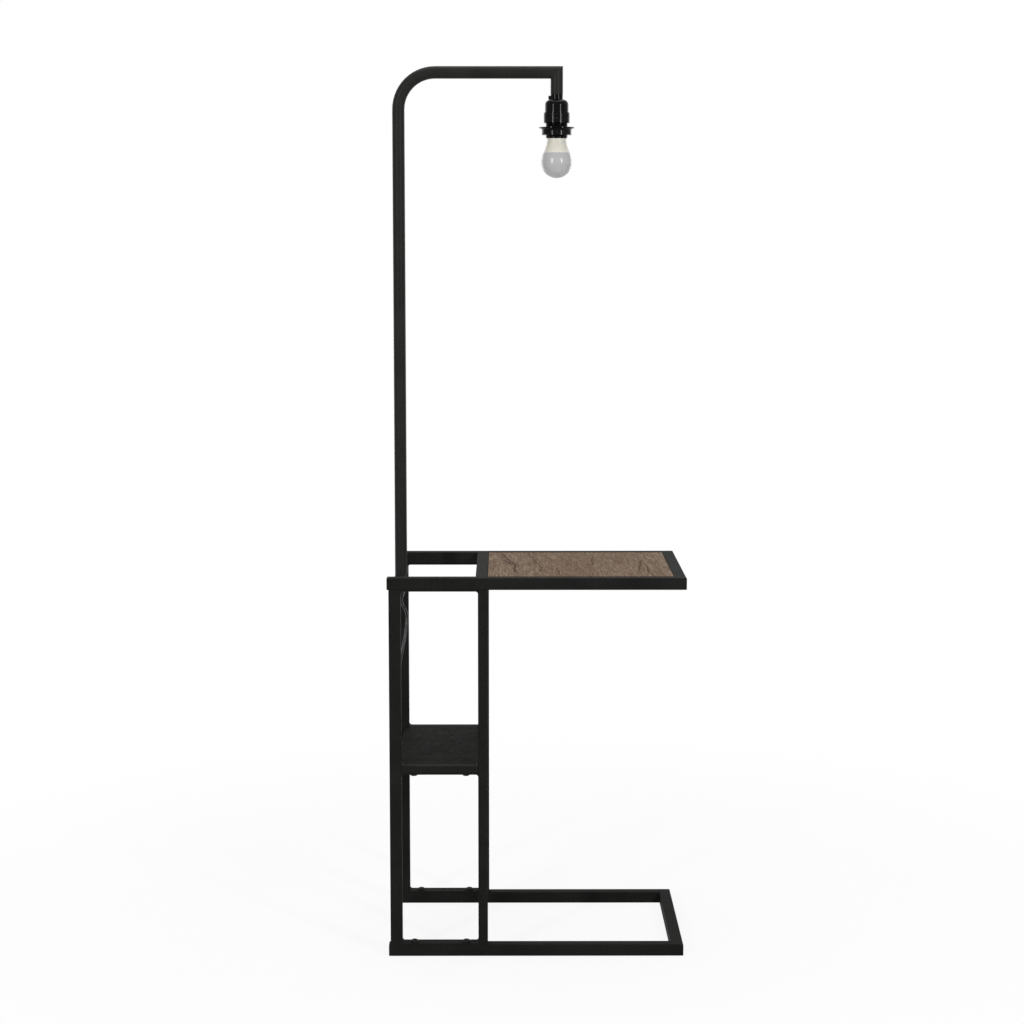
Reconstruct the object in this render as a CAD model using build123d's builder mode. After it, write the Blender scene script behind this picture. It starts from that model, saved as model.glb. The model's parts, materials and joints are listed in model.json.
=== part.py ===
from build123d import *
import math
import os

# Floor lamp with a side table: a U-shaped base and a U-shaped table frame of square steel tube,
# two pairs of ladder legs between them, a small shelf, and a bent pole that hangs a bulb.
# The origin is on the floor under the middle. X runs along the table, Y to the back, Z up.

# Overall sizes
base_length = 500.0
base_depth = 300.0
lamp_height = 1500.0
table_height = 650.0
shelf_height = 330.0

# Square tube of the base, the table and the legs
rail = 20.0
tube_wall = 1.2
tube_inner_corner = 0.4
tube_corner = tube_wall + tube_inner_corner
left_leg = 20.0
right_leg = 16.0
bay_width = 129.0

# Plastic caps in the open left ends of the rails
cap_head = 3.0
cap_plug = 12.0
cap_clear = 0.1
cap_chamfer = 1.0

# Flat bars that close the ladders, and the weld beads in their corners
bar_thick = 2.5
weld = 4.0
weld_hollow = 0.2

# Bolts that hold the ladders to the base, the shelf frame and the table
bolt_d = 6.0
bolt_head_d = 14.0
bolt_head_h = 3.8
bolt_crown_d = 7.0
bolt_socket_flats = 4.0
bolt_socket_depth = 1.4
bolt_inset = 20.5
hole_clear = 0.25
thread_clear = 0.05
nut_flats = 10.0
nut_h = 5.0
sink_d = 11.0

# Shelf
shelf_rail_h = 12.0
shelf_side = 14.0
shelf_side_in = 6.0
shelf_panel_t = 6.0
shelf_support_y = 85.0
shelf_screw_x = 35.0

# Table top
table_panel_t = 12.0
table_support_x = 90.0
table_screw_y = 80.0
panel_gap = 0.6
panel_edge = 0.5
support_w = 20.0
support_t = 2.5
screw_d = 3.5
screw_head_d = 6.5
screw_head_h = 2.0
screw_head_taper = 20.0
screw_bite = 5.0

# Pole and arm
pole_d = 21.0
pole_wall = 1.5
pole_inset = 17.0
bend_r = 62.0
arm_reach = 268.0
stub_drop = 47.0
carrier_w = 17.5
carrier_h = 12.0
carrier_shift = 2.0
insert_h = 14.0
insert_clear = 0.05
nipple_d = 10.0
nipple_bore = 7.0
nipple_bite = 10.0
lock_nut_flats = 14.0
lock_nut_h = 5.0
relief_d = 14.0
relief_end_d = 7.6
relief_h = 21.0

# Lampholder
neck_h = 8.7
shoulder_r = 9.5
cap_d = 40.0
cap_h = 22.0
shell_wall = 2.5
spigot_h = 6.0
collar_d = 43.7
collar_h = 17.4
collar_flutes = 28
flute_r = 0.9
flute_margin = 2.0
skirt_d = 37.2
skirt_h = 25.6
skirt_bore = 33.0
skirt_round = 1.5
ridge = 0.6
ridge_pitch = 2.8
fit_clear = 0.1
core_flange_h = 4.0
core_d = 28.0
core_h = 16.0
set_screw_d = 4.0
set_screw_head = 3.6
set_screw_head_d = 6.4
lead_slack = 0.1

# Shade ring on the skirt's thread
ring_flange_d = 60.6
ring_flange_edge = 1.6
ring_collar_d = 49.8
ring_h = 13.0
ring_taper_h = 6.0
ring_drop = 7.0
ring_clear = 0.3

# Screw base of the bulb and the shell that takes it
thread_d = 26.0
shell_clear = 0.3
shell_sheet = 0.45
shell_lip = 2.2
thread_h = 18.0
thread_edge = 1.3
tip_base_d = 18.7
tip_d = 10.0
tip_cone_h = 4.0
tip_h = 2.0
contact_gap = 0.3
contact_d = 6.6

# Bulb
bulb_d = 52.4
bulb_neck_d = 30.4
bulb_mouth_d = 31.6
bulb_waist_d = 36.0
bulb_joint_d = 44.6
bulb_tuck = 5.0
bulb_waist_drop = 12.6
bulb_joint_drop = 24.0
bulb_belly_drop = 40.4
bulb_wall = 1.4
board_t = 1.6
led_count = 9
led_ring_r = 12.0
led_side = 2.8
led_h = 0.7

# Mains lead, its hank behind the front rail, the switch and the plug
cord_d = 4.6
tie_thick = 0.6
tie_width = 6.0
tie_clear = 0.1
hank_run = 20.0 * cord_d
hank_offset = 18.0
hank_fold_r = 3.0 * cord_d
hank_gap = 0.55
hank_waist = 5.0
hank_rail_gap = 0.4
hank_lead_in = 10.0
hank_lead_out = 6.0
lead_straight = 18.0
lead_corner = 0.45
tail_run = 92.5
switch_rail_gap = 2.0
switch_length = 50.0
switch_width = 20.0
switch_height = 12.0
switch_wall = 1.5
switch_round = 3.0
rocker_r = 8.0
rocker_w = 9.0
rocker_top = 3.5
rocker_dip = 0.6
rocker_foot = 3.0
rocker_tilt = 8.0
rocker_clear = 0.4
pin_r = 1.2
pin_clear = 0.05
lug_w = 6.0
lug_t = 1.2
plug_run = 96.0
plug_relief = 20.0
plug_relief_wall = 1.0
plug_length = 26.0
plug_width = 22.0
plug_thick = 12.0
plug_round = 3.5
blade_pitch = 12.7
blade_w = 6.4
blade_t = 1.5
blade_l = 17.0
blade_root = 6.0

# Places that follow from the sizes above
x_left = -base_length / 2
x_right = base_length / 2
rail_start = x_left + cap_head
y_front = -base_depth / 2 + rail / 2
y_rear = base_depth / 2 - rail / 2
inside_depth = base_depth - 2 * rail
bay_left = rail_start + left_leg
bay_right = bay_left + bay_width
bay_middle = (bay_left + bay_right) / 2
ladder_right = bay_right + right_leg
bolt_xs = (bay_left + bolt_inset, bay_right - bolt_inset)
shelf_rail_z = shelf_height - shelf_rail_h
table_z = table_height - rail
foot_z = rail + bar_thick
bolt_reach = bar_thick + tube_wall + nut_h
pole_x = x_left + pole_inset
arm_z = lamp_height - pole_d / 2
stub_x = pole_x + arm_reach
stub_z = lamp_height - stub_drop

os.makedirs("parts", exist_ok=True)


def save(piece, label):
    """Label a finished piece and write it to its own file."""
    piece.part.label = label
    export_step(piece.part, f"parts/{label}.step")


def tube_section(width, height):
    """Hollow rounded rectangle of the frame's tube, drawn in the sketch that is open."""
    RectangleRounded(width, height, tube_corner)
    RectangleRounded(
        width - 2 * tube_wall, height - 2 * tube_wall, tube_inner_corner, mode=Mode.SUBTRACT
    )


def tube_between(start, end, width, height):
    """Straight tube along Y or Z from one point to another, with its width along X."""
    run = Vector(*end) - Vector(*start)
    with BuildPart() as tube:
        with BuildSketch(Plane(origin=start, x_dir=(1, 0, 0), z_dir=run)):
            tube_section(width, height)
        extrude(amount=run.length)
    return tube


# U-frames: the front and rear rails are mitred to the end rail on the right and open on the left
def u_rail(y, z, hole_wall_z):
    """One long rail with its mitred right end and the two bolt holes in one of its walls."""
    outer = math.copysign(base_depth / 2, y)
    inward = -math.copysign(1, y)
    with BuildPart() as u_frame_rail:
        with BuildSketch(Plane(origin=(rail_start, y, z), x_dir=(0, 1, 0), z_dir=(1, 0, 0))):
            tube_section(rail, rail)
        extrude(amount=x_right - rail_start)
        split(bisect_by=Plane(origin=(x_right, outer, z), z_dir=(1, inward, 0)), keep=Keep.BOTTOM)
        with BuildSketch(Plane.XY.offset(hole_wall_z)):
            with Locations(*[(x, y) for x in bolt_xs]):
                Circle(bolt_d / 2 + hole_clear)
        extrude(amount=tube_wall, mode=Mode.SUBTRACT)
    return u_frame_rail


def u_end_rail(z):
    """End rail on the right, mitred to both long rails."""
    x = x_right - rail / 2
    with BuildPart() as end_rail:
        with BuildSketch(
            Plane(origin=(x, -base_depth / 2, z), x_dir=(1, 0, 0), z_dir=(0, 1, 0))
        ):
            tube_section(rail, rail)
        extrude(amount=base_depth)
        for outer in (-base_depth / 2, base_depth / 2):
            inward = -math.copysign(1, outer)
            split(
                bisect_by=Plane(origin=(x_right, outer, z), z_dir=(1, inward, 0)), keep=Keep.TOP
            )
    return end_rail


save(u_rail(y_front, rail / 2, rail - tube_wall), "base_front_rail")
save(u_rail(y_rear, rail / 2, rail - tube_wall), "base_rear_rail")
save(u_end_rail(rail / 2), "base_end_rail")
save(u_rail(y_front, table_z + rail / 2, table_z), "table_front_rail")
save(u_rail(y_rear, table_z + rail / 2, table_z), "table_rear_rail")
save(u_end_rail(table_z + rail / 2), "table_end_rail")

table_cross_rail = tube_between(
    (ladder_right - rail / 2, -inside_depth / 2, table_z + rail / 2),
    (ladder_right - rail / 2, inside_depth / 2, table_z + rail / 2),
    rail,
    rail,
)
save(table_cross_rail, "table_cross_rail")

# End caps: a chamfered square head outside and a plug inside the tube
plug_side = rail - 2 * tube_wall - 2 * cap_clear
cap_seats = [
    Plane(origin=(rail_start, y, z), x_dir=(0, 1, 0), z_dir=(-1, 0, 0))
    for y in (y_front, y_rear)
    for z in (rail / 2, table_z + rail / 2)
]
with BuildPart() as one_cap:
    with BuildSketch():
        RectangleRounded(rail, rail, tube_corner)
    extrude(amount=cap_head)
    chamfer(one_cap.faces().sort_by(Axis.Z)[-1].edges(), cap_chamfer)
    with BuildSketch():
        RectangleRounded(plug_side, plug_side, tube_inner_corner)
    extrude(amount=-cap_plug)
with BuildPart() as end_caps:
    with Locations(*cap_seats):
        add(one_cap.part)
save(end_caps, "end_caps")

# Weld bead in a corner of a ladder: a hollow triangle along the two faces
bead_middle = weld * (0.5 - weld_hollow)
with BuildSketch() as one_bead:
    with BuildLine():
        Polyline((weld, 0), (0, 0), (0, weld))
        ThreePointArc((0, weld), (bead_middle, bead_middle), (weld, 0))
    make_face()

# Flat bars under the lower legs, bolted down on the base rails, with a weld bead at each leg
with BuildPart() as base_bars:
    with BuildSketch(Plane.XY.offset(rail)):
        with Locations(
            *[((rail_start + ladder_right) / 2, y) for y in (y_front, y_rear)]
        ):
            Rectangle(ladder_right - rail_start, rail)
        with Locations(*[(x, y) for x in bolt_xs for y in (y_front, y_rear)]):
            Circle(bolt_d / 2 + hole_clear, mode=Mode.SUBTRACT)
    extrude(amount=bar_thick)
    for y in (y_front, y_rear):
        with BuildSketch(Plane.XZ.offset(-(y + rail / 2))):
            with Locations(
                Location((bay_left, foot_z, 0)),
                Location((bay_right, foot_z, 0), (0, 0, 90)),
            ):
                add(one_bead.sketch)
        extrude(amount=rail)
save(base_bars, "base_bars")

# Ladder legs: square tube on the left, a narrower tube on the right
leg_sides = {
    "left": (rail_start + left_leg / 2, left_leg),
    "right": (bay_right + right_leg / 2, right_leg),
}
leg_rows = {"front": y_front, "rear": y_rear}
leg_storeys = {"lower": (foot_z, shelf_rail_z), "upper": (shelf_rail_z, table_z)}
for storey, (z_foot, z_top) in leg_storeys.items():
    for row, y in leg_rows.items():
        for side, (x, width) in leg_sides.items():
            leg = tube_between((x, y, z_foot), (x, y, z_top), width, rail)
            save(leg, f"{storey}_{row}_{side}_leg")


# Flat bars between the leg tops, with a weld bead under each end
def ladder_bars(z_top, sink):
    """Pair of flat bars, front and rear, whose bolt holes are plain or countersunk."""
    z_under = z_top - bar_thick
    with BuildPart() as bars:
        for y in (y_front, y_rear):
            with BuildSketch(Plane.XZ.offset(-(y + rail / 2))):
                with Locations((bay_middle, z_top - bar_thick / 2)):
                    Rectangle(bay_right - bay_left, bar_thick)
                with Locations(
                    Location((bay_left, z_under, 0), (0, 0, -90)),
                    Location((bay_right, z_under, 0), (0, 0, 180)),
                ):
                    add(one_bead.sketch)
            extrude(amount=rail)
        with Locations(
            *[
                Location((x, y, z_under), (180, 0, 0))
                for x in bolt_xs
                for y in (y_front, y_rear)
            ]
        ):
            if sink:
                CounterSinkHole(bolt_d / 2 + hole_clear, sink_d / 2 + hole_clear, bar_thick)
            else:
                Hole(bolt_d / 2 + hole_clear, bar_thick)
    return bars


save(ladder_bars(shelf_rail_z, sink=False), "lower_top_bars")
save(ladder_bars(table_z, sink=True), "upper_top_bars")


# Shelf frame between the upper legs
def shelf_rail(y):
    """Flat tube across the bay, with two bolt holes in its lower wall and weld beads on its ends."""
    with BuildPart() as cross_tube:
        with BuildSketch(
            Plane(
                origin=(bay_left, y, shelf_rail_z + shelf_rail_h / 2),
                x_dir=(0, 1, 0),
                z_dir=(1, 0, 0),
            )
        ):
            tube_section(rail, shelf_rail_h)
        extrude(amount=bay_width)
        with BuildSketch(Plane.XY.offset(shelf_rail_z)):
            with Locations(*[(x, y) for x in bolt_xs]):
                Circle(bolt_d / 2 + hole_clear)
        extrude(amount=tube_wall, mode=Mode.SUBTRACT)
        with BuildSketch(Plane.XZ.offset(-(y + rail / 2))):
            with Locations(
                Location((bay_left, shelf_height, 0)),
                Location((bay_right, shelf_height, 0), (0, 0, 90)),
            ):
                add(one_bead.sketch)
        extrude(amount=rail)
    return cross_tube


save(shelf_rail(y_front), "shelf_front_rail")
save(shelf_rail(y_rear), "shelf_rear_rail")

shelf_side_xs = (
    bay_left + shelf_side_in - shelf_side / 2,
    bay_right - shelf_side_in + shelf_side / 2,
)
shelf_side_h = shelf_rail_h - shelf_panel_t
with BuildPart() as shelf_side_bars:
    for x in shelf_side_xs:
        side_tube = tube_between(
            (x, -inside_depth / 2, shelf_rail_z + shelf_side_h / 2),
            (x, inside_depth / 2, shelf_rail_z + shelf_side_h / 2),
            shelf_side,
            shelf_side_h,
        )
        add(side_tube.part)
save(shelf_side_bars, "shelf_side_bars")

shelf_inside = bay_width - 2 * shelf_side_in
shelf_support_z = shelf_height - shelf_panel_t - support_t
shelf_screws = [
    (bay_middle + side * shelf_screw_x, row * shelf_support_y)
    for side in (-1, 1)
    for row in (-1, 1)
]
with BuildPart() as shelf_support_bars:
    with BuildSketch(Plane.XY.offset(shelf_support_z)):
        with Locations((bay_middle, -shelf_support_y), (bay_middle, shelf_support_y)):
            Rectangle(shelf_inside, support_w)
        with Locations(*shelf_screws):
            Circle(screw_d / 2 + hole_clear, mode=Mode.SUBTRACT)
    extrude(amount=support_t)
save(shelf_support_bars, "shelf_support_bars")


def laid_panel(x_middle, length, z_under, thickness, screws):
    """Panel let into its frame with a thin gap all round and blind screw holes below."""
    with BuildPart() as board:
        with BuildSketch(Plane.XY.offset(z_under)):
            with Locations((x_middle, 0)):
                Rectangle(length - 2 * panel_gap, inside_depth - 2 * panel_gap)
        extrude(amount=thickness)
        chamfer(board.faces().sort_by(Axis.Z)[-1].edges(), panel_edge)
        with BuildSketch(Plane.XY.offset(z_under)):
            with Locations(*screws):
                Circle(screw_d / 2 + thread_clear)
        extrude(amount=screw_bite, mode=Mode.SUBTRACT)
    return board


shelf_panel_z = shelf_height - shelf_panel_t
shelf_length = shelf_inside + 2 * shelf_side
shelf_panel = laid_panel(bay_middle, shelf_length, shelf_panel_z, shelf_panel_t, shelf_screws)
save(shelf_panel, "shelf_panel")

# Wooden table top on two flat bars between the rails
top_left = ladder_right
top_right = x_right - rail
top_middle = (top_left + top_right) / 2
table_panel_z = table_height - table_panel_t
table_support_z = table_panel_z - support_t
table_screws = [
    (top_middle + side * table_support_x, row * table_screw_y)
    for side in (-1, 1)
    for row in (-1, 1)
]
with BuildPart() as table_support_bars:
    with BuildSketch(Plane.XY.offset(table_support_z)):
        with Locations(
            (top_middle - table_support_x, 0),
            (top_middle + table_support_x, 0),
        ):
            Rectangle(support_w, inside_depth)
        with Locations(*table_screws):
            Circle(screw_d / 2 + hole_clear, mode=Mode.SUBTRACT)
    extrude(amount=support_t)
save(table_support_bars, "table_support_bars")

table_panel = laid_panel(
    top_middle, top_right - top_left, table_panel_z, table_panel_t, table_screws
)
save(table_panel, "table_panel")

# Fasteners: each kind is drawn once, pointing up from its seat, and set at every hole
with BuildPart() as one_bolt:
    with BuildSketch():
        Circle(bolt_d / 2)
    extrude(amount=bolt_reach)
    with BuildSketch(Plane.XZ):
        with BuildLine():
            Polyline((bolt_crown_d / 2, -bolt_head_h), (0, -bolt_head_h), (0, 0), (bolt_head_d / 2, 0))
            TangentArc(
                (bolt_crown_d / 2, -bolt_head_h), (bolt_head_d / 2, 0), tangent=(1, 0)
            )
        make_face()
    revolve(axis=Axis.Z)
    with BuildSketch(Plane.XY.offset(-bolt_head_h)):
        RegularPolygon(bolt_socket_flats / 2, 6, major_radius=False)
    extrude(amount=bolt_socket_depth, mode=Mode.SUBTRACT)
hole_spots = [(x, y) for x in bolt_xs for y in (y_front, y_rear)]
with BuildPart() as frame_bolts:
    with Locations(
        *[Location((x, y, foot_z), (180, 0, 0)) for x, y in hole_spots],
        *[Location((x, y, shelf_rail_z - bar_thick)) for x, y in hole_spots],
    ):
        add(one_bolt.part)
save(frame_bolts, "frame_bolts")

sink_h = (sink_d - bolt_d) / 2
with BuildPart() as one_sunk_screw:
    with BuildSketch():
        Circle(bolt_d / 2)
    extrude(amount=bolt_reach)
    with BuildSketch(Plane.XZ):
        Polygon((0, 0), (sink_d / 2, 0), (bolt_d / 2, sink_h), (0, sink_h), align=None)
    revolve(axis=Axis.Z)
    with BuildSketch():
        RegularPolygon(bolt_socket_flats / 2, 6, major_radius=False)
    extrude(amount=bolt_socket_depth, mode=Mode.SUBTRACT)
with BuildPart() as table_bolts:
    with Locations(*[Location((x, y, table_z - bar_thick)) for x, y in hole_spots]):
        add(one_sunk_screw.part)
save(table_bolts, "table_bolts")

with BuildPart() as one_nut:
    with BuildSketch():
        RegularPolygon(nut_flats / 2, 6, major_radius=False)
        Circle(bolt_d / 2 + thread_clear, mode=Mode.SUBTRACT)
    extrude(amount=nut_h)
with BuildPart() as weld_nuts:
    with Locations(
        *[Location((x, y, rail - tube_wall - nut_h)) for x, y in hole_spots],
        *[Location((x, y, shelf_rail_z + tube_wall)) for x, y in hole_spots],
        *[Location((x, y, table_z + tube_wall)) for x, y in hole_spots],
    ):
        add(one_nut.part)
save(weld_nuts, "weld_nuts")

with BuildPart() as one_panel_screw:
    with BuildSketch():
        Circle(screw_d / 2)
    extrude(amount=support_t + screw_bite)
    with BuildSketch():
        Circle(screw_head_d / 2)
    extrude(amount=-screw_head_h, taper=screw_head_taper)
with BuildPart() as panel_screws:
    with Locations(
        *[Location((x, y, shelf_support_z)) for x, y in shelf_screws],
        *[Location((x, y, table_support_z)) for x, y in table_screws],
    ):
        add(one_panel_screw.part)
save(panel_screws, "panel_screws")

# Cross tube between the upper left legs that carries the pole
carrier_z = table_z - carrier_h
with BuildPart() as pole_cross_rail:
    with BuildSketch(
        Plane(
            origin=(pole_x - carrier_shift, -inside_depth / 2, carrier_z + carrier_h / 2),
            x_dir=(1, 0, 0),
            z_dir=(0, 1, 0),
        )
    ):
        tube_section(carrier_w, carrier_h)
    extrude(amount=inside_depth)
    with Locations((pole_x, 0, table_z)):
        Hole(nipple_d / 2 + hole_clear, carrier_h)
save(pole_cross_rail, "pole_cross_rail")


# Pole with its bend and arm: one bent tube, cut at 45 degrees where the lamp stub is welded on
with BuildPart() as pole_tube:
    with BuildLine() as pole_path:
        rise = Line((pole_x, 0, table_z), (pole_x, 0, arm_z - bend_r))
        bend = TangentArc(rise @ 1, (pole_x + bend_r, 0, arm_z), tangent=rise % 1)
        Line(bend @ 1, (stub_x + pole_d / 2, 0, arm_z))
    with BuildSketch(Plane.XY.offset(table_z)):
        with Locations((pole_x, 0)):
            Circle(pole_d / 2)
            Circle(pole_d / 2 - pole_wall, mode=Mode.SUBTRACT)
    sweep(path=pole_path.wires()[0])
    with BuildSketch(Plane.XZ):
        Polygon(
            (stub_x - pole_d, arm_z - pole_d),
            (stub_x + pole_d, arm_z - pole_d),
            (stub_x + pole_d, arm_z + pole_d),
            align=None,
        )
    extrude(amount=pole_d, both=True, mode=Mode.SUBTRACT)
save(pole_tube, "pole_tube")

with BuildPart() as lamp_stub:
    with BuildSketch(Plane.XY.offset(stub_z)):
        with Locations((stub_x, 0)):
            Circle(pole_d / 2)
            Circle(pole_d / 2 - pole_wall, mode=Mode.SUBTRACT)
    extrude(amount=lamp_height - stub_z)
    split(bisect_by=Plane(origin=(stub_x, 0, arm_z), z_dir=(1, 0, -1)), keep=Keep.TOP)
save(lamp_stub, "lamp_stub")

# Threaded plugs welded into both tube ends, and the hollow nipples that screw into them
with BuildPart() as tube_inserts:
    for x, z in ((pole_x, table_z), (stub_x, stub_z)):
        with BuildSketch(Plane.XY.offset(z)):
            with Locations((x, 0)):
                Circle(pole_d / 2 - pole_wall - insert_clear)
                Circle(nipple_d / 2 + thread_clear, mode=Mode.SUBTRACT)
        extrude(amount=insert_h)
save(tube_inserts, "tube_inserts")

nut_z = carrier_z - lock_nut_h
relief_z = nut_z - relief_h
nipple_spans = (
    (pole_x, nut_z - nipple_bite, table_z + nipple_bite),
    (stub_x, stub_z - neck_h, stub_z + nipple_bite),
)
with BuildPart() as threaded_nipples:
    for x, z_low, z_high in nipple_spans:
        with BuildSketch(Plane.XY.offset(z_low)):
            with Locations((x, 0)):
                Circle(nipple_d / 2)
                Circle(nipple_bore / 2, mode=Mode.SUBTRACT)
        extrude(amount=z_high - z_low)
save(threaded_nipples, "threaded_nipples")

with BuildPart() as pole_lock_nut:
    with BuildSketch(Plane.XY.offset(nut_z)):
        with Locations((pole_x, 0)):
            RegularPolygon(lock_nut_flats / 2, 6, major_radius=False)
            Circle(nipple_d / 2 + thread_clear, mode=Mode.SUBTRACT)
    extrude(amount=lock_nut_h)
save(pole_lock_nut, "pole_lock_nut")

# Tapered relief that screws on the nipple and lets the lead out downwards
with BuildPart() as cord_relief:
    with BuildSketch(Plane(origin=(pole_x, 0, 0), x_dir=(1, 0, 0), z_dir=(0, -1, 0))):
        Polygon(
            (cord_d / 2 + lead_slack, relief_z),
            (relief_end_d / 2, relief_z),
            (relief_d / 2, nut_z - nipple_bite),
            (relief_d / 2, nut_z),
            (nipple_d / 2 + thread_clear, nut_z),
            (nipple_d / 2 + thread_clear, nut_z - nipple_bite),
            (cord_d / 2 + lead_slack, nut_z - nipple_bite),
            align=None,
        )
    revolve(axis=Axis((pole_x, 0, 0), (0, 0, 1)))
save(cord_relief, "cord_relief")

# Lampholder, built on the stub's axis from the neck downwards
lamp_axis = Axis((stub_x, 0, 0), (0, 0, 1))
lamp_plane = Plane(origin=(stub_x, 0, 0), x_dir=(1, 0, 0), z_dir=(0, -1, 0))
cap_z = stub_z - neck_h
collar_z = cap_z - cap_h
spigot_z = collar_z - spigot_h
ledge_z = spigot_z - core_flange_h
skirt_top_z = collar_z - collar_h
skirt_z = skirt_top_z - skirt_h
spigot_r = cap_d / 2 - shell_wall
roof_z = cap_z - shoulder_r + shell_wall
set_screw_z = cap_z + set_screw_head_d / 2 + fit_clear

with BuildPart() as holder_cap:
    with BuildSketch(lamp_plane):
        with BuildLine():
            Polyline(
                (nipple_d / 2 + thread_clear, stub_z),
                (pole_d / 2, stub_z),
                (pole_d / 2, cap_z),
            )
            ThreePointArc(
                (pole_d / 2, cap_z),
                (
                    cap_d / 2 - shoulder_r * (1 - math.sqrt(0.5)),
                    cap_z - shoulder_r * (1 - math.sqrt(0.5)),
                ),
                (cap_d / 2, cap_z - shoulder_r),
            )
            Polyline(
                (cap_d / 2, cap_z - shoulder_r),
                (cap_d / 2, collar_z),
                (spigot_r, collar_z),
                (spigot_r, spigot_z),
                (spigot_r - shell_wall, spigot_z),
                (spigot_r - shell_wall, roof_z),
                (nipple_d / 2 + thread_clear, roof_z),
                (nipple_d / 2 + thread_clear, stub_z),
            )
        make_face()
    revolve(axis=lamp_axis)
    with BuildSketch(
        Plane(origin=(stub_x, 0, set_screw_z), x_dir=(0, 1, 0), z_dir=(-1, 0, 0))
    ):
        Circle(set_screw_d / 2 + thread_clear)
    extrude(amount=pole_d, mode=Mode.SUBTRACT)
save(holder_cap, "holder_cap")

with BuildPart() as holder_set_screw:
    with BuildSketch(
        Plane(
            origin=(stub_x - nipple_d / 2 - fit_clear, 0, set_screw_z),
            x_dir=(0, 1, 0),
            z_dir=(-1, 0, 0),
        )
    ):
        Circle(set_screw_d / 2)
    extrude(amount=(pole_d - nipple_d) / 2)
    with BuildSketch(
        Plane(
            origin=(stub_x - pole_d / 2 - fit_clear, 0, set_screw_z),
            x_dir=(0, 1, 0),
            z_dir=(-1, 0, 0),
        )
    ):
        Circle(set_screw_head_d / 2)
    extrude(amount=set_screw_head)
    fillet(
        holder_set_screw.faces().sort_by(Axis.X)[0].edges(), min(set_screw_head, set_screw_head_d) / 4
    )
save(holder_set_screw, "holder_set_screw")

# Skirt: a fluted grip collar above, and a threaded sleeve below that the shade ring runs on
ridge_count = int(skirt_h / ridge_pitch)
ridge_low = skirt_z + skirt_round
ridge_step = (skirt_h - skirt_round) / ridge_count
with BuildPart() as holder_skirt:
    with BuildSketch(lamp_plane):
        with BuildLine():
            Polyline(
                (skirt_d / 2 - ridge, skirt_top_z),
                (collar_d / 2, skirt_top_z),
                (collar_d / 2, collar_z),
                (spigot_r + fit_clear, collar_z),
                (spigot_r + fit_clear, ledge_z),
                (skirt_bore / 2, ledge_z),
                (skirt_bore / 2, skirt_z),
                (skirt_d / 2 - skirt_round, skirt_z),
                (skirt_d / 2 - ridge, ridge_low),
            )
            for i in range(ridge_count):
                ThreePointArc(
                    (skirt_d / 2 - ridge, ridge_low + i * ridge_step),
                    (skirt_d / 2, ridge_low + (i + 0.5) * ridge_step),
                    (skirt_d / 2 - ridge, ridge_low + (i + 1) * ridge_step),
                )
        make_face()
    revolve(axis=lamp_axis)
    with BuildSketch(Plane.XY.offset(skirt_top_z)):
        with Locations((stub_x, 0)):
            with PolarLocations(collar_d / 2, collar_flutes):
                Circle(flute_r)
    extrude(amount=collar_h - flute_margin, mode=Mode.SUBTRACT)
save(holder_skirt, "holder_skirt")

# Ceramic core clamped between the cap's spigot and the skirt's ledge
with BuildPart() as holder_core:
    with BuildSketch(Plane.XY.offset(ledge_z)):
        with Locations((stub_x, 0)):
            Circle(spigot_r)
    extrude(amount=core_flange_h)
    with BuildSketch(Plane.XY.offset(spigot_z)):
        with Locations((stub_x, 0)):
            Circle(core_d / 2)
    extrude(amount=core_h)
save(holder_core, "holder_core")

# Screw shell under the core, with the bulb's screw base inside it
shell_r = thread_d / 2 + shell_clear
bulb_top_z = skirt_z + bulb_tuck
with BuildPart() as screw_shell:
    with BuildSketch(lamp_plane):
        Polygon(
            (shell_r, bulb_top_z + shell_lip),
            (shell_r + shell_sheet, bulb_top_z + shell_lip),
            (shell_r + shell_sheet, ledge_z - shell_sheet),
            (shell_r + shell_lip, ledge_z - shell_sheet),
            (shell_r + shell_lip, ledge_z),
            (shell_r, ledge_z),
            align=None,
        )
    revolve(axis=lamp_axis)
save(screw_shell, "screw_shell")

thread_top_z = bulb_top_z + thread_h
tip_z = thread_top_z + tip_cone_h + tip_h
with BuildPart() as bulb_cap:
    with BuildSketch(Plane.XY.offset(bulb_top_z)):
        with Locations((stub_x, 0)):
            Circle(thread_d / 2)
    extrude(amount=thread_h)
    chamfer(bulb_cap.faces().sort_by(Axis.Z)[-1].edges(), thread_edge)
save(bulb_cap, "bulb_cap")

with BuildPart() as bulb_contact:
    with BuildSketch(lamp_plane):
        Polygon(
            (0, thread_top_z),
            (tip_base_d / 2, thread_top_z),
            (tip_d / 2, thread_top_z + tip_cone_h),
            (tip_d / 2, tip_z - tip_h / 2),
            (tip_d / 4, tip_z),
            (0, tip_z),
            align=None,
        )
    revolve(axis=lamp_axis)
save(bulb_contact, "bulb_contact")

# Spring contact that hangs from the core and ends just over the bulb's tip
with BuildPart() as holder_contact:
    with BuildSketch(Plane.XY.offset(tip_z + contact_gap)):
        with Locations((stub_x, 0)):
            Circle(contact_d / 2)
    with BuildSketch(Plane.XY.offset(ledge_z)):
        with Locations((stub_x, 0)):
            Circle(tip_d / 2)
    loft()
save(holder_contact, "holder_contact")

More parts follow.
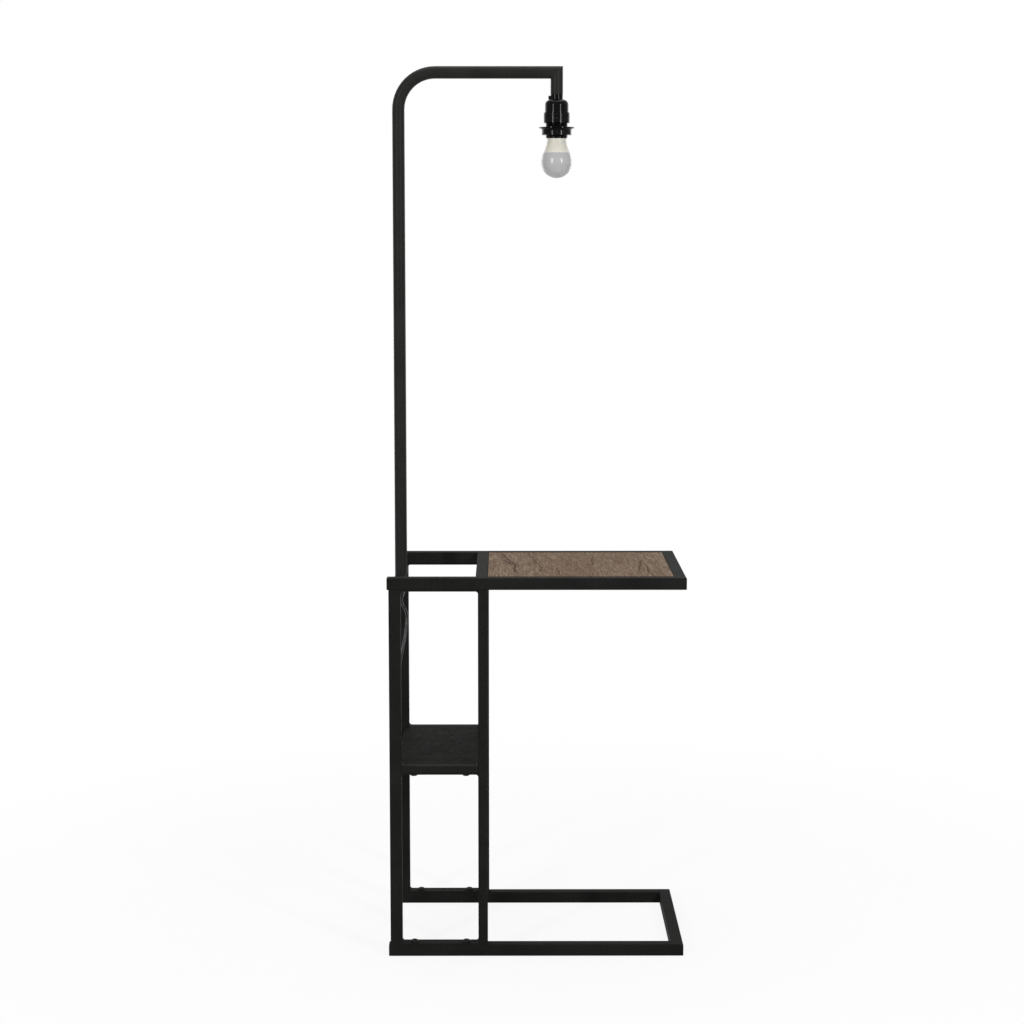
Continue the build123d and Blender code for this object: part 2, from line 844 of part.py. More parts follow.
# Shade ring: a thin flange on top that curves into a grip collar
ring_z = skirt_top_z - ring_drop
with BuildPart() as shade_ring:
    with BuildSketch(lamp_plane):
        with BuildLine():
            Polyline(
                (ring_collar_d / 2, ring_z - ring_taper_h),
                (ring_collar_d / 2, ring_z - ring_h),
                (skirt_d / 2 + ring_clear, ring_z - ring_h),
                (skirt_d / 2 + ring_clear, ring_z),
                (ring_flange_d / 2, ring_z),
                (ring_flange_d / 2, ring_z - ring_flange_edge),
            )
            TangentArc(
                (ring_collar_d / 2, ring_z - ring_taper_h),
                (ring_flange_d / 2, ring_z - ring_flange_edge),
                tangent=(0, 1),
            )
        make_face()
    revolve(axis=lamp_axis)
    with BuildSketch(Plane.XY.offset(ring_z - ring_h)):
        with Locations((stub_x, 0)):
            with PolarLocations(ring_collar_d / 2, collar_flutes):
                Circle(flute_r)
    extrude(amount=ring_h - ring_taper_h, mode=Mode.SUBTRACT)
save(shade_ring, "shade_ring")

# Bulb: a moulded housing that flares down to a round frosted diffuser, with the lamp board between
waist_z = bulb_top_z - bulb_waist_drop - bulb_tuck
joint_z = skirt_z - bulb_joint_drop
belly_z = skirt_z - bulb_belly_drop
belly_r = bulb_d / 2
joint_r = bulb_joint_d / 2
with BuildPart() as bulb_housing:
    with BuildSketch(lamp_plane):
        with BuildLine():
            Polyline(
                (joint_r - bulb_wall, joint_z),
                (joint_r, joint_z),
            )
            ThreePointArc(
                (joint_r, joint_z),
                (bulb_waist_d / 2, waist_z),
                (bulb_mouth_d / 2, skirt_z),
            )
            Polyline(
                (bulb_mouth_d / 2, skirt_z),
                (bulb_neck_d / 2, bulb_top_z),
                (0, bulb_top_z),
                (0, bulb_top_z - bulb_wall),
                (bulb_neck_d / 2 - bulb_wall, bulb_top_z - bulb_wall),
                (bulb_mouth_d / 2 - bulb_wall, skirt_z),
            )
            ThreePointArc(
                (bulb_mouth_d / 2 - bulb_wall, skirt_z),
                (bulb_waist_d / 2 - bulb_wall, waist_z),
                (joint_r - bulb_wall, joint_z),
            )
        make_face()
    revolve(axis=lamp_axis)
save(bulb_housing, "bulb_housing")

shoulder_mid_z = (joint_z + belly_z) / 2
shoulder_mid_r = belly_r - (belly_r - joint_r) / 4
with BuildPart() as bulb_diffuser:
    with BuildSketch(lamp_plane):
        with BuildLine():
            Line((joint_r - bulb_wall, joint_z), (joint_r, joint_z))
            ThreePointArc((joint_r, joint_z), (shoulder_mid_r, shoulder_mid_z), (belly_r, belly_z))
            ThreePointArc(
                (belly_r, belly_z),
                (belly_r * math.sqrt(0.5), belly_z - belly_r * math.sqrt(0.5)),
                (0, belly_z - belly_r),
            )
            Line((0, belly_z - belly_r), (0, belly_z - belly_r + bulb_wall))
            ThreePointArc(
                (0, belly_z - belly_r + bulb_wall),
                (
                    (belly_r - bulb_wall) * math.sqrt(0.5),
                    belly_z - (belly_r - bulb_wall) * math.sqrt(0.5),
                ),
                (belly_r - bulb_wall, belly_z),
            )
            ThreePointArc(
                (belly_r - bulb_wall, belly_z),
                (shoulder_mid_r - bulb_wall, shoulder_mid_z),
                (joint_r - bulb_wall, joint_z),
            )
        make_face()
    revolve(axis=lamp_axis)
save(bulb_diffuser, "bulb_diffuser")

with BuildPart() as led_board:
    with BuildSketch(Plane.XY.offset(joint_z)):
        with Locations((stub_x, 0)):
            Circle(joint_r - bulb_wall - fit_clear)
    extrude(amount=-board_t)
    with BuildSketch(Plane.XY.offset(joint_z - board_t)):
        with Locations((stub_x, 0)):
            with PolarLocations(led_ring_r, led_count):
                Rectangle(led_side, led_side)
    extrude(amount=-led_h)
save(led_board, "led_board")

# Lead inside the pole, the arm and the stub, from the relief to the lampholder's core
lead_end_z = spigot_z + core_h + lead_slack
stub_bend_r = pole_d - cord_d / 2
with BuildPart() as inner_lead:
    with BuildLine() as lead_path:
        FilletPolyline(
            (pole_x, 0, relief_z),
            (pole_x, 0, arm_z),
            (stub_x, 0, arm_z),
            (stub_x, 0, lead_end_z),
            radius=[bend_r, stub_bend_r],
        )
    with BuildSketch(Plane.XY.offset(relief_z)):
        with Locations((pole_x, 0)):
            Circle(cord_d / 2)
    sweep(path=lead_path.wires()[0])
save(inner_lead, "inner_lead")

# Free lead: the hank lies on the floor behind the front rail, in one layer of nested loops
hank_step = cord_d + hank_gap
near_out = y_front + rail / 2 + hank_rail_gap + cord_d / 2
near_mid = near_out + hank_step
near_in = near_mid + hank_step
far_in = near_in + 2 * hank_fold_r
far_out = far_in + hank_step
hank_y = (near_out + far_out) / 2
hank_low = tie_thick + tie_clear + cord_d / 2
hank_high = hank_low + hank_step
hank_middle_x = bay_middle + hank_offset
hank_left = hank_middle_x - hank_run / 2
hank_right = hank_middle_x + hank_run / 2
hank_start = (hank_left - hank_lead_in, near_out, hank_low)
hank_end = (hank_right + hank_lead_out, near_in, hank_high)


def half_run(start, end):
    """Two equal arcs that leave and arrive along X, or a straight line if nothing shifts."""
    heading = (math.copysign(1, end[0] - start[0]), 0, 0)
    middle = tuple((a + b) / 2 for a, b in zip(start, end))
    first = TangentArc(start, middle, tangent=heading)
    TangentArc(middle, end, tangent=first % 1)


def hank_loop_run(heading, y_run, z_to):
    """One run of the hank, drawn in towards the middle line by the tie, after which it may climb."""
    x_from, x_to = (hank_left, hank_right) if heading > 0 else (hank_right, hank_left)
    waist = (hank_middle_x, y_run + math.copysign(hank_waist, hank_y - y_run), hank_low)
    half_run((x_from, y_run, hank_low), waist)
    half_run(waist, (x_to, y_run, z_to))


def hank_fold(x, outward, y_from, y_to):
    """Half circle at one end of the hank."""
    bulge = outward * abs(y_to - y_from) / 2
    ThreePointArc(
        (x, y_from, hank_low),
        (x + bulge, (y_from + y_to) / 2, hank_low),
        (x, y_to, hank_low),
    )


with BuildPart() as cord_hank:
    with BuildLine() as hank_path:
        Line(hank_start, (hank_left, near_out, hank_low))
        hank_loop_run(1, near_out, hank_low)
        hank_fold(hank_right, 1, near_out, far_out)
        hank_loop_run(-1, far_out, hank_low)
        hank_fold(hank_left, -1, far_out, near_mid)
        hank_loop_run(1, near_mid, hank_low)
        hank_fold(hank_right, 1, near_mid, far_in)
        hank_loop_run(-1, far_in, hank_low)
        hank_fold(hank_left, -1, far_in, near_in)
        hank_loop_run(1, near_in, hank_high)
        Line((hank_right, near_in, hank_high), hank_end)
    with BuildSketch(Plane(origin=hank_start, x_dir=(0, 1, 0), z_dir=(1, 0, 0))):
        Circle(cord_d / 2)
    sweep(path=hank_path.wires()[0])
save(cord_hank, "cord_hank")

# Strap tie round the hank's waist
tie_w = far_out - near_out - 2 * hank_waist + cord_d + 2 * tie_clear
tie_h = cord_d + 2 * tie_clear
with BuildPart() as cord_tie:
    with BuildSketch(
        Plane(
            origin=(hank_middle_x - tie_width / 2, hank_y, tie_thick + tie_h / 2),
            x_dir=(0, 1, 0),
            z_dir=(1, 0, 0),
        )
    ):
        RectangleRounded(tie_w + 2 * tie_thick, tie_h + 2 * tie_thick, cord_d / 2)
        RectangleRounded(tie_w, tie_h, cord_d / 2 - tie_thick, mode=Mode.SUBTRACT)
    extrude(amount=tie_width)
save(cord_tie, "cord_tie")

# Routes of the free stretches, as points chosen along the lead
lead_z = switch_height / 2
switch_y = y_front + rail / 2 + switch_rail_gap + switch_width / 2
switch_left = hank_end[0] + tail_run
switch_right = switch_left + switch_length
switch_x = (switch_left + switch_right) / 2
plug_x = switch_right + plug_run

# Each point of the drop: its place beside the pole, and its shares of the way forward and of the height
drop_shape = [
    (8.5, 0.016, 0.945),
    (10.5, 0.039, 0.914),
    (4.0, 0.071, 0.860),
    (-4.5, 0.114, 0.787),
    (-9.5, 0.189, 0.688),
    (-10.5, 0.283, 0.591),
    (-10.0, 0.385, 0.495),
    (-9.0, 0.483, 0.402),
    (-8.5, 0.589, 0.313),
    (-9.0, 0.691, 0.233),
    (-10.2, 0.789, 0.164),
    (-11.5, 0.876, 0.103),
    (-11.2, 0.939, 0.057),
    (-2.5, 0.978, 0.024),
]
drop_route = [
    (pole_x, 0.0, relief_z),
    (pole_x, 0.0, relief_z - lead_straight),
    *[
        (pole_x + beside, forward * hank_start[1], height * relief_z)
        for beside, forward, height in drop_shape
    ],
    (hank_start[0] - lead_straight, hank_start[1], hank_low),
    hank_start,
]
tail_route = [
    hank_end,
    (hank_end[0] + lead_straight, hank_end[1], hank_high),
    (hank_end[0] + 38.0, hank_end[1] - 1.5, 5.0),
    (hank_end[0] + 56.0, hank_end[1] - 3.0, 2.6),
    (switch_left - lead_straight, switch_y, lead_z),
    (switch_left, switch_y, lead_z),
]
plug_route = [
    (switch_right, switch_y, lead_z),
    (switch_right + lead_straight, switch_y, lead_z),
    (switch_right + 39.0, switch_y - 2.0, 3.4),
    (switch_right + 59.0, switch_y - 3.0, 2.8),
    (plug_x - lead_straight, switch_y, lead_z),
    (plug_x, switch_y, lead_z),
]


def corner_radii(points):
    """Largest arc at each corner of a route that takes only its share of the shorter run beside it."""
    radii = []
    for before, at, after in zip(points, points[1:], points[2:]):
        run_in = Vector(*at) - Vector(*before)
        run_out = Vector(*after) - Vector(*at)
        half_turn = math.radians(run_in.get_angle(run_out)) / 2
        radii.append(lead_corner * min(run_in.length, run_out.length) / math.tan(half_turn))
    return radii


def free_lead(points, label):
    """Round lead along a route of straight runs and tangent arcs. Returns its length."""
    radii = corner_radii(points)
    with BuildPart() as lead:
        with BuildLine() as route:
            FilletPolyline(*points, radius=radii)
        path = route.wires()[0]
        with BuildSketch(Plane(origin=points[0], z_dir=path % 0)):
            Circle(cord_d / 2)
        sweep(path=path)
    save(lead, label)
    section = math.pi * cord_d**2 / 4
    print(
        f"{label}: {path.length:.0f} mm, least radius {min(radii):.1f} mm,",
        f"volume over section times length {lead.part.volume / section / path.length:.4f}",
    )
    return path.length


drop_length = free_lead(drop_route, "cord_drop")
tail_length = free_lead(tail_route, "cord_tail")
plug_lead_length = free_lead(plug_route, "plug_lead")

hank_wire = hank_path.wires()[0]
hank_length = hank_wire.length
hank_samples = int(hank_length / 2)
hank_points = [hank_wire @ (i / hank_samples) for i in range(hank_samples + 1)]
skip = int(2 * cord_d / (hank_length / hank_samples)) + 1
hank_least_gap = min(
    (a - b).length - cord_d
    for i, a in enumerate(hank_points)
    for b in hank_points[i + skip :]
)
print(f"cord_hank: {hank_length:.0f} mm, least gap to itself {hank_least_gap:.2f} mm")
cord_length = drop_length + hank_length + tail_length + plug_lead_length + switch_length
print(f"lead from the relief to the plug: {cord_length:.0f} mm")

# Switch in the lead: two moulded halves with a rocker on a cross pin
half_h = switch_height / 2
inner_length = switch_length - 2 * switch_wall
inner_width = switch_width - 2 * switch_wall


def switch_half(z_joint, direction):
    """Hollow half of the switch's body, open towards the joint line."""
    with BuildPart() as half:
        with BuildSketch(Plane.XY.offset(z_joint)):
            with Locations((switch_x, switch_y)):
                RectangleRounded(switch_length, switch_width, switch_round)
        extrude(amount=direction * half_h)
        outside = half.faces().sort_by(Axis.Z)[-1 if direction > 0 else 0]
        fillet(outside.edges(), switch_wall)
        with BuildSketch(Plane.XY.offset(z_joint)):
            with Locations((switch_x, switch_y)):
                RectangleRounded(inner_length, inner_width, switch_round - switch_wall)
        extrude(amount=direction * (half_h - switch_wall), mode=Mode.SUBTRACT)
    return half


save(switch_half(half_h, -1), "switch_base")

pivot_z = switch_height - switch_wall - pin_r - pin_clear - lug_t
lug_y = rocker_w / 2 + rocker_clear + lug_t / 2
shell_top = switch_half(half_h, 1)
with BuildPart() as switch_cover:
    add(shell_top.part)
    with BuildSketch(Plane.XY.offset(half_h)):
        with Locations((switch_x, switch_y)):
            Rectangle(2 * (rocker_r + rocker_clear), rocker_w + 2 * rocker_clear)
    extrude(amount=half_h, mode=Mode.SUBTRACT)
    with BuildSketch(Plane.XY.offset(half_h)):
        with Locations((switch_x, switch_y - lug_y), (switch_x, switch_y + lug_y)):
            Rectangle(lug_w, lug_t)
    extrude(amount=half_h - switch_wall)
    with BuildSketch(Plane(origin=(switch_x, switch_y, pivot_z), z_dir=(0, 1, 0))):
        Circle(pin_r + pin_clear)
    extrude(amount=lug_y + lug_t / 2, both=True, mode=Mode.SUBTRACT)
save(switch_cover, "switch_cover")

tilt = math.radians(rocker_tilt)
rocker_plane = Plane(
    origin=(switch_x, switch_y, pivot_z),
    x_dir=(math.cos(tilt), 0, math.sin(tilt)),
    z_dir=(0, -1, 0),
)
top_half = math.sqrt(rocker_r**2 - rocker_top**2)
foot_half = math.sqrt(rocker_r**2 - rocker_foot**2)
with BuildPart() as switch_rocker:
    with BuildSketch(rocker_plane):
        with BuildLine():
            ThreePointArc((-top_half, rocker_top), (-rocker_r, 0), (-foot_half, -rocker_foot))
            Line((-foot_half, -rocker_foot), (foot_half, -rocker_foot))
            ThreePointArc((foot_half, -rocker_foot), (rocker_r, 0), (top_half, rocker_top))
            ThreePointArc(
                (top_half, rocker_top), (0, rocker_top - rocker_dip), (-top_half, rocker_top)
            )
        make_face()
    extrude(amount=rocker_w / 2, both=True)
    with BuildSketch(rocker_plane):
        Circle(pin_r)
    extrude(amount=lug_y + lug_t / 2, both=True)
save(switch_rocker, "switch_rocker")

# Plug: a flat moulded body with a ribless tapered relief and two flat blades
plug_body_x = plug_x + plug_relief
plug_end_x = plug_body_x + plug_length
with BuildPart() as plug_body:
    with BuildSketch(
        Plane(origin=(plug_body_x, switch_y, lead_z), x_dir=(0, 1, 0), z_dir=(1, 0, 0))
    ):
        RectangleRounded(plug_width, plug_thick, plug_round)
    extrude(amount=plug_length)
    fillet(plug_body.faces().sort_by(Axis.X)[0].edges(), plug_round / 2)
    with BuildSketch(
        Plane(origin=(plug_x, switch_y, lead_z), x_dir=(0, 1, 0), z_dir=(1, 0, 0))
    ):
        Circle(cord_d / 2 + plug_relief_wall)
    with BuildSketch(
        Plane(origin=(plug_body_x, switch_y, lead_z), x_dir=(0, 1, 0), z_dir=(1, 0, 0))
    ):
        Circle(plug_thick / 2 - plug_relief_wall)
    loft()
    with BuildSketch(
        Plane(origin=(plug_end_x, switch_y, lead_z), x_dir=(0, 1, 0), z_dir=(1, 0, 0))
    ):
        with Locations((-blade_pitch / 2, 0), (blade_pitch / 2, 0)):
            Rectangle(blade_t + 2 * thread_clear, blade_w + 2 * thread_clear)
    extrude(amount=-blade_root, mode=Mode.SUBTRACT)
save(plug_body, "plug_body")

with BuildPart() as plug_blades:
    with BuildSketch(
        Plane(origin=(plug_end_x - blade_root, switch_y, lead_z), x_dir=(0, 1, 0), z_dir=(1, 0, 0))
    ):
        with Locations((-blade_pitch / 2, 0), (blade_pitch / 2, 0)):
            Rectangle(blade_t, blade_w)
    extrude(amount=blade_root + blade_l)
    fillet(plug_blades.faces().sort_by(Axis.X)[-2:].edges().filter_by(Axis.Y), blade_w / 4)
save(plug_blades, "plug_blades")
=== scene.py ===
import json
import math

import bpy
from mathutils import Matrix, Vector


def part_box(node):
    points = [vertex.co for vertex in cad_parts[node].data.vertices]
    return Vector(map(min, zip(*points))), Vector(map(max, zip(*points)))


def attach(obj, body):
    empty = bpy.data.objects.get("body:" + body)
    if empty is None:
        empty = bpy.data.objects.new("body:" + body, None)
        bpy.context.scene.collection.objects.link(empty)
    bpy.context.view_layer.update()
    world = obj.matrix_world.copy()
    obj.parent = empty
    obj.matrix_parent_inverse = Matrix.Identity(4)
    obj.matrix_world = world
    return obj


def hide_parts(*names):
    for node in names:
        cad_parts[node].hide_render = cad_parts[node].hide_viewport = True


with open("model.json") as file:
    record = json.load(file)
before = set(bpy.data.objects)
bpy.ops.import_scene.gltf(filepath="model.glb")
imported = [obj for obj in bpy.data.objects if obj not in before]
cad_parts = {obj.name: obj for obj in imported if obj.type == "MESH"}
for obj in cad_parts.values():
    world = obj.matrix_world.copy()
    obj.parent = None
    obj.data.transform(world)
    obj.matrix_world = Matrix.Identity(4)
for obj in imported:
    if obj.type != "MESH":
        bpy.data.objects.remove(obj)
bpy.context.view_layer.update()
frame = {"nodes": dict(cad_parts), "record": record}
nodes = frame["nodes"]
scene = bpy.context.scene
scene.view_settings.view_transform = "Standard"

MM = 0.001
# sockets of a Mix node that mixes two colours
FACTOR, FROM, TO, MIXED = 0, 6, 7, 2


def linear(hex_code):
    """sRGB hex to the linear colour that a socket takes."""
    parts = [int(hex_code[i : i + 2], 16) / 255 for i in (1, 3, 5)]
    return (*[c / 12.92 if c <= 0.04045 else ((c + 0.055) / 1.055) ** 2.4 for c in parts], 1.0)


def add(tree, kind, inputs=None, **settings):
    """Add a node with its settings. An input is a value, or the output socket that feeds it."""
    made = tree.nodes.new(kind)
    for name, value in settings.items():
        setattr(made, name, value)
    for name, value in (inputs or {}).items():
        if isinstance(value, bpy.types.NodeSocket):
            tree.links.new(value, made.inputs[name])
        else:
            made.inputs[name].default_value = value
    return made


def finish_of(name):
    """New material with its tree, its shader and the point on the piece, in metres."""
    made = bpy.data.materials.new(name)
    made.use_nodes = True
    tree = made.node_tree
    shader = tree.nodes["Principled BSDF"]
    point = add(tree, "ShaderNodeTexCoord").outputs["Object"]
    return made, tree, shader, point


def dress(tree, shader, colour, roughness, relief):
    """Feed the shader a finish's colour, roughness and relief."""
    tree.links.new(colour, shader.inputs["Base Color"])
    tree.links.new(roughness, shader.inputs["Roughness"])
    tree.links.new(relief, shader.inputs["Normal"])


def per(size_mm):
    """Texture scale whose features are this many millimetres apart."""
    return 1 / (size_mm * MM)


# Finishes

# most of a noise lies between these two values
NOISE_LOW, NOISE_HIGH = 0.3, 0.7


def patches(tree, point, size_mm, low, high, detail=2.0):
    """Value that wanders between these two over soft patches of this size."""
    cloud = add(tree, "ShaderNodeTexNoise", {"Vector": point, "Scale": per(size_mm), "Detail": detail})
    spread = {"From Min": NOISE_LOW, "From Max": NOISE_HIGH, "To Min": low, "To Max": high}
    return add(tree, "ShaderNodeMapRange", {"Value": cloud.outputs[0]} | spread).outputs[0]


def black_powder_coat(name, dark, light, specular, smooth, rough):
    """Polyester powder baked on steel: satin black, a fine grit with a shallow orange peel under it."""
    made, tree, shader, point = finish_of(name)
    cloud = patches(tree, point, 60.0, 0.0, 0.6, 3.0)
    speck = patches(tree, point, 1.1, -0.25, 0.75)
    share = add(tree, "ShaderNodeMath", {0: cloud, 1: speck}, operation="ADD", use_clamp=True).outputs[0]
    tone = {FACTOR: share, FROM: linear(dark), TO: linear(light)}
    tone = add(tree, "ShaderNodeMix", tone, data_type="RGBA").outputs[MIXED]
    peel = {"Height": patches(tree, point, 5.0, 0.0, 1.0), "Strength": 0.35, "Distance": 0.06 * MM}
    peel = add(tree, "ShaderNodeBump", peel)
    # the grit is about 0.2 mm on the real frame, drawn at 0.9 mm so that it shows
    grit = {"Height": patches(tree, point, 0.9, 0.0, 1.0), "Strength": 0.3, "Distance": 0.04 * MM}
    grit = add(tree, "ShaderNodeBump", grit | {"Normal": peel.outputs[0]})
    dress(tree, shader, tone, patches(tree, point, 2.5, smooth, rough), grit.outputs[0])
    shader.inputs["Specular IOR Level"].default_value = specular
    return made


def split_line():
    """Node group: how near a point is to a split in the wood, 1 on its line and 0 outside its width."""
    group = bpy.data.node_groups.new("split_line", "ShaderNodeTree")
    for name, kind in (("Point", "Vector"), ("Start", "Vector"), ("End", "Vector"), ("Width", "Float")):
        group.interface.new_socket(name, in_out="INPUT", socket_type=f"NodeSocket{kind}")
    group.interface.new_socket("Share", in_out="OUTPUT", socket_type="NodeSocketFloat")
    given = add(group, "NodeGroupInput").outputs
    math_of = "ShaderNodeVectorMath"
    line = add(group, math_of, {0: given["End"], 1: given["Start"]}, operation="SUBTRACT").outputs[0]
    reach = add(group, math_of, {0: given["Point"], 1: given["Start"]}, operation="SUBTRACT").outputs[0]
    along = add(group, math_of, {0: reach, 1: line}, operation="DOT_PRODUCT").outputs["Value"]
    whole = add(group, math_of, {0: line, 1: line}, operation="DOT_PRODUCT").outputs["Value"]
    part = add(group, "ShaderNodeMath", {0: along, 1: whole}, operation="DIVIDE", use_clamp=True).outputs[0]
    foot = add(group, math_of, {0: line, "Scale": part}, operation="SCALE").outputs[0]
    away = add(group, math_of, {0: reach, 1: foot}, operation="DISTANCE").outputs["Value"]
    near = add(
        group, "ShaderNodeMapRange",
        {"Value": away, "From Min": 0.0, "From Max": given["Width"], "To Min": 1.0, "To Max": 0.0},
        interpolation_type="SMOOTHSTEP",
    )
    add(group, "NodeGroupOutput", {"Share": near.outputs[0]})
    return group


# Splits in the board that the photograph shows, in millimetres: where each starts and where it ends, across and along
# the grain, and its width
BOARD_SPLITS = [
    ((-58, 112), (-36, -8), 2.8), ((-36, -2), (-35, -88), 3.2), ((-12, 119), (9, -45), 2.0),
    ((9, -45), (8, -88), 2.0), ((187, 44), (178, -30), 3.0), ((178, -30), (176, -70), 2.2),
    ((191, -24), (190, -80), 2.6), ((190, -80), (198, -128), 2.4), ((-80, 20), (-88, -20), 2.4),
    ((102, 75), (98, -15), 2.2), ((-54, 40), (-42, 0), 4.0), ((36, -45), (40, -125), 1.8),
]
# Layers of marks in the grain: width and length in millimetres, detail, how far it darkens, and its colour. The last
# layer is the pores.
GRAIN_MARKS = [
    (15, 100, 3.0, 0.55, "#5e4935"), (2.4, 40, 2.5, 0.8, "#4d3826"), (1.3, 22, 2.0, 0.8, "#3f2a18"),
]


def along_grain(tree, point):
    """Where a point lies across the grain, and the point set there, so that straight marks follow the grain."""
    at = add(tree, "ShaderNodeSeparateXYZ", {0: point}).outputs
    slow = add(tree, "ShaderNodeMapping", {"Vector": point, "Scale": (per(40), per(65), per(65))})
    sway = add(tree, "ShaderNodeTexNoise", {"Vector": slow.outputs[0], "Scale": 1.0, "Detail": 2.0})
    # the grain leans by one part in twenty, and wanders by about 12 mm
    lean = add(tree, "ShaderNodeMath", {0: at["Y"], 1: 0.05, 2: at["X"]}, operation="MULTIPLY_ADD")
    across = {0: sway.outputs[0], 1: 12 * MM, 2: lean.outputs[0]}
    across = add(tree, "ShaderNodeMath", across, operation="MULTIPLY_ADD").outputs[0]
    return across, add(tree, "ShaderNodeCombineXYZ", {"X": across, "Y": at["Y"], "Z": at["Z"]}).outputs[0]


def in_split(tree, point):
    """How far a point is inside a split of the board, from 0 outside them all to 1."""
    # the splits wander off their straight lines by a few millimetres
    loose = add(tree, "ShaderNodeTexNoise", {"Vector": point, "Scale": per(14), "Detail": 2.0})
    shift = {0: loose.outputs["Color"], 1: (0.5, 0.5, 0.5)}
    shift = add(tree, "ShaderNodeVectorMath", shift, operation="SUBTRACT")
    shift = {0: shift.outputs[0], 1: (9 * MM, 30 * MM, 0)}
    shift = add(tree, "ShaderNodeVectorMath", shift, operation="MULTIPLY")
    flat = add(tree, "ShaderNodeVectorMath", {0: point, 1: (1, 1, 0)}, operation="MULTIPLY")
    moved = add(tree, "ShaderNodeVectorMath", {0: flat.outputs[0], 1: shift.outputs[0]}, operation="ADD")
    group = split_line()
    deepest = 0.0
    for start, end, width in BOARD_SPLITS:
        line = {"Point": moved.outputs[0], "Width": width * MM}
        line |= {"Start": (start[0] * MM, start[1] * MM, 0), "End": (end[0] * MM, end[1] * MM, 0)}
        split = add(tree, "ShaderNodeGroup", line, node_tree=group)
        deepest = {0: split.outputs[0], 1: deepest}
        deepest = add(tree, "ShaderNodeMath", deepest, operation="MAXIMUM").outputs[0]
    # a split is dark over its middle half and fades to its edges
    return add(tree, "ShaderNodeMath", {0: deepest, 1: 1.6}, operation="MULTIPLY", use_clamp=True).outputs[0]


def oak_decor():
    """Printed oak on the board: fibres run from front to back in slow waves, with pores and dark splits."""
    made, tree, shader, point = finish_of("oak_decor")
    across, flow = along_grain(tree, point)
    # a browner strip about 90 mm wide right of the middle
    off = add(tree, "ShaderNodeMath", {0: across, 1: 64 * MM}, operation="SUBTRACT")
    off = add(tree, "ShaderNodeMath", {0: off.outputs[0]}, operation="ABSOLUTE").outputs[0]
    strip = {"Value": off, "From Min": 30 * MM, "From Max": 55 * MM, "To Min": 0.35, "To Max": 0.0}
    strip = add(tree, "ShaderNodeMapRange", strip, interpolation_type="SMOOTHSTEP").outputs[0]
    tone = {FACTOR: strip, FROM: linear("#897763"), TO: linear("#705943")}
    tone = add(tree, "ShaderNodeMix", tone, data_type="RGBA").outputs[MIXED]
    for wide, long, detail, depth, dark in GRAIN_MARKS:
        fit = add(tree, "ShaderNodeMapping", {"Vector": flow, "Scale": (per(wide), per(long), per(long))})
        marks = add(tree, "ShaderNodeTexNoise", {"Vector": fit.outputs[0], "Scale": 1.0, "Detail": detail})
        # a mark is full where the noise is under the first value, and gone over the second
        share = {"Value": marks.outputs[0], "From Min": 0.32, "From Max": 0.62, "To Min": depth, "To Max": 0.0}
        share = add(tree, "ShaderNodeMapRange", share).outputs[0]
        tone = {FACTOR: share, FROM: tone, TO: linear(dark)}
        tone = add(tree, "ShaderNodeMix", tone, data_type="RGBA").outputs[MIXED]
    tone = {FACTOR: in_split(tree, point), FROM: tone, TO: linear("#38230f")}
    tone = add(tree, "ShaderNodeMix", tone, data_type="RGBA").outputs[MIXED]
    pores = add(tree, "ShaderNodeBump", {"Height": marks.outputs[0], "Strength": 0.4, "Distance": 0.06 * MM})
    dress(tree, shader, tone, patches(tree, flow, 9.0, 0.5, 0.62), pores.outputs[0])
    shader.inputs["Specular IOR Level"].default_value = 0.04
    return made


def black_laminate():
    """Melamine film on the shelf board: dull black with a fine pearl print, and faint streaks along the board that
    are painted reflection.
    """
    made, tree, shader, point = finish_of("black_laminate")
    # the painted reflection streaks are ten times as long as they are wide
    drawn = add(tree, "ShaderNodeMapping", {"Vector": point, "Scale": (0.1, 1.0, 1.0)}).outputs[0]
    tone = {FACTOR: patches(tree, drawn, 30.0, 0.0, 1.0), FROM: linear("#161615"), TO: linear("#1e1e1d")}
    tone = add(tree, "ShaderNodeMix", tone, data_type="RGBA").outputs[MIXED]
    # the pearl print is about 0.3 mm, drawn at 1.2 mm so that it shows
    pearl = {"Height": patches(tree, point, 1.2, 0.0, 1.0), "Strength": 0.05, "Distance": 0.02 * MM}
    pearl = add(tree, "ShaderNodeBump", pearl)
    dress(tree, shader, tone, patches(tree, point, 8.0, 0.5, 0.7), pearl.outputs[0])
    shader.inputs["Specular IOR Level"].default_value = 0.01
    return made


def even_finish(name, dark, light, roughness, specular, grain_mm, depth_mm):
    """Even surface: faint clouds in its colour, and the fine grain or polish that its mould or bath left on it."""
    made, tree, shader, point = finish_of(name)
    tone = {FACTOR: patches(tree, point, 14.0, 0.0, 1.0, 3.0), FROM: linear(dark), TO: linear(light)}
    tone = add(tree, "ShaderNodeMix", tone, data_type="RGBA").outputs[MIXED]
    grain = {"Height": patches(tree, point, grain_mm, 0.0, 1.0), "Strength": 0.3, "Distance": depth_mm * MM}
    grain = add(tree, "ShaderNodeBump", grain)
    uneven = patches(tree, point, 6.0, 0.8 * roughness, 1.2 * roughness)
    dress(tree, shader, tone, uneven, grain.outputs[0])
    shader.inputs["Specular IOR Level"].default_value = specular
    return made


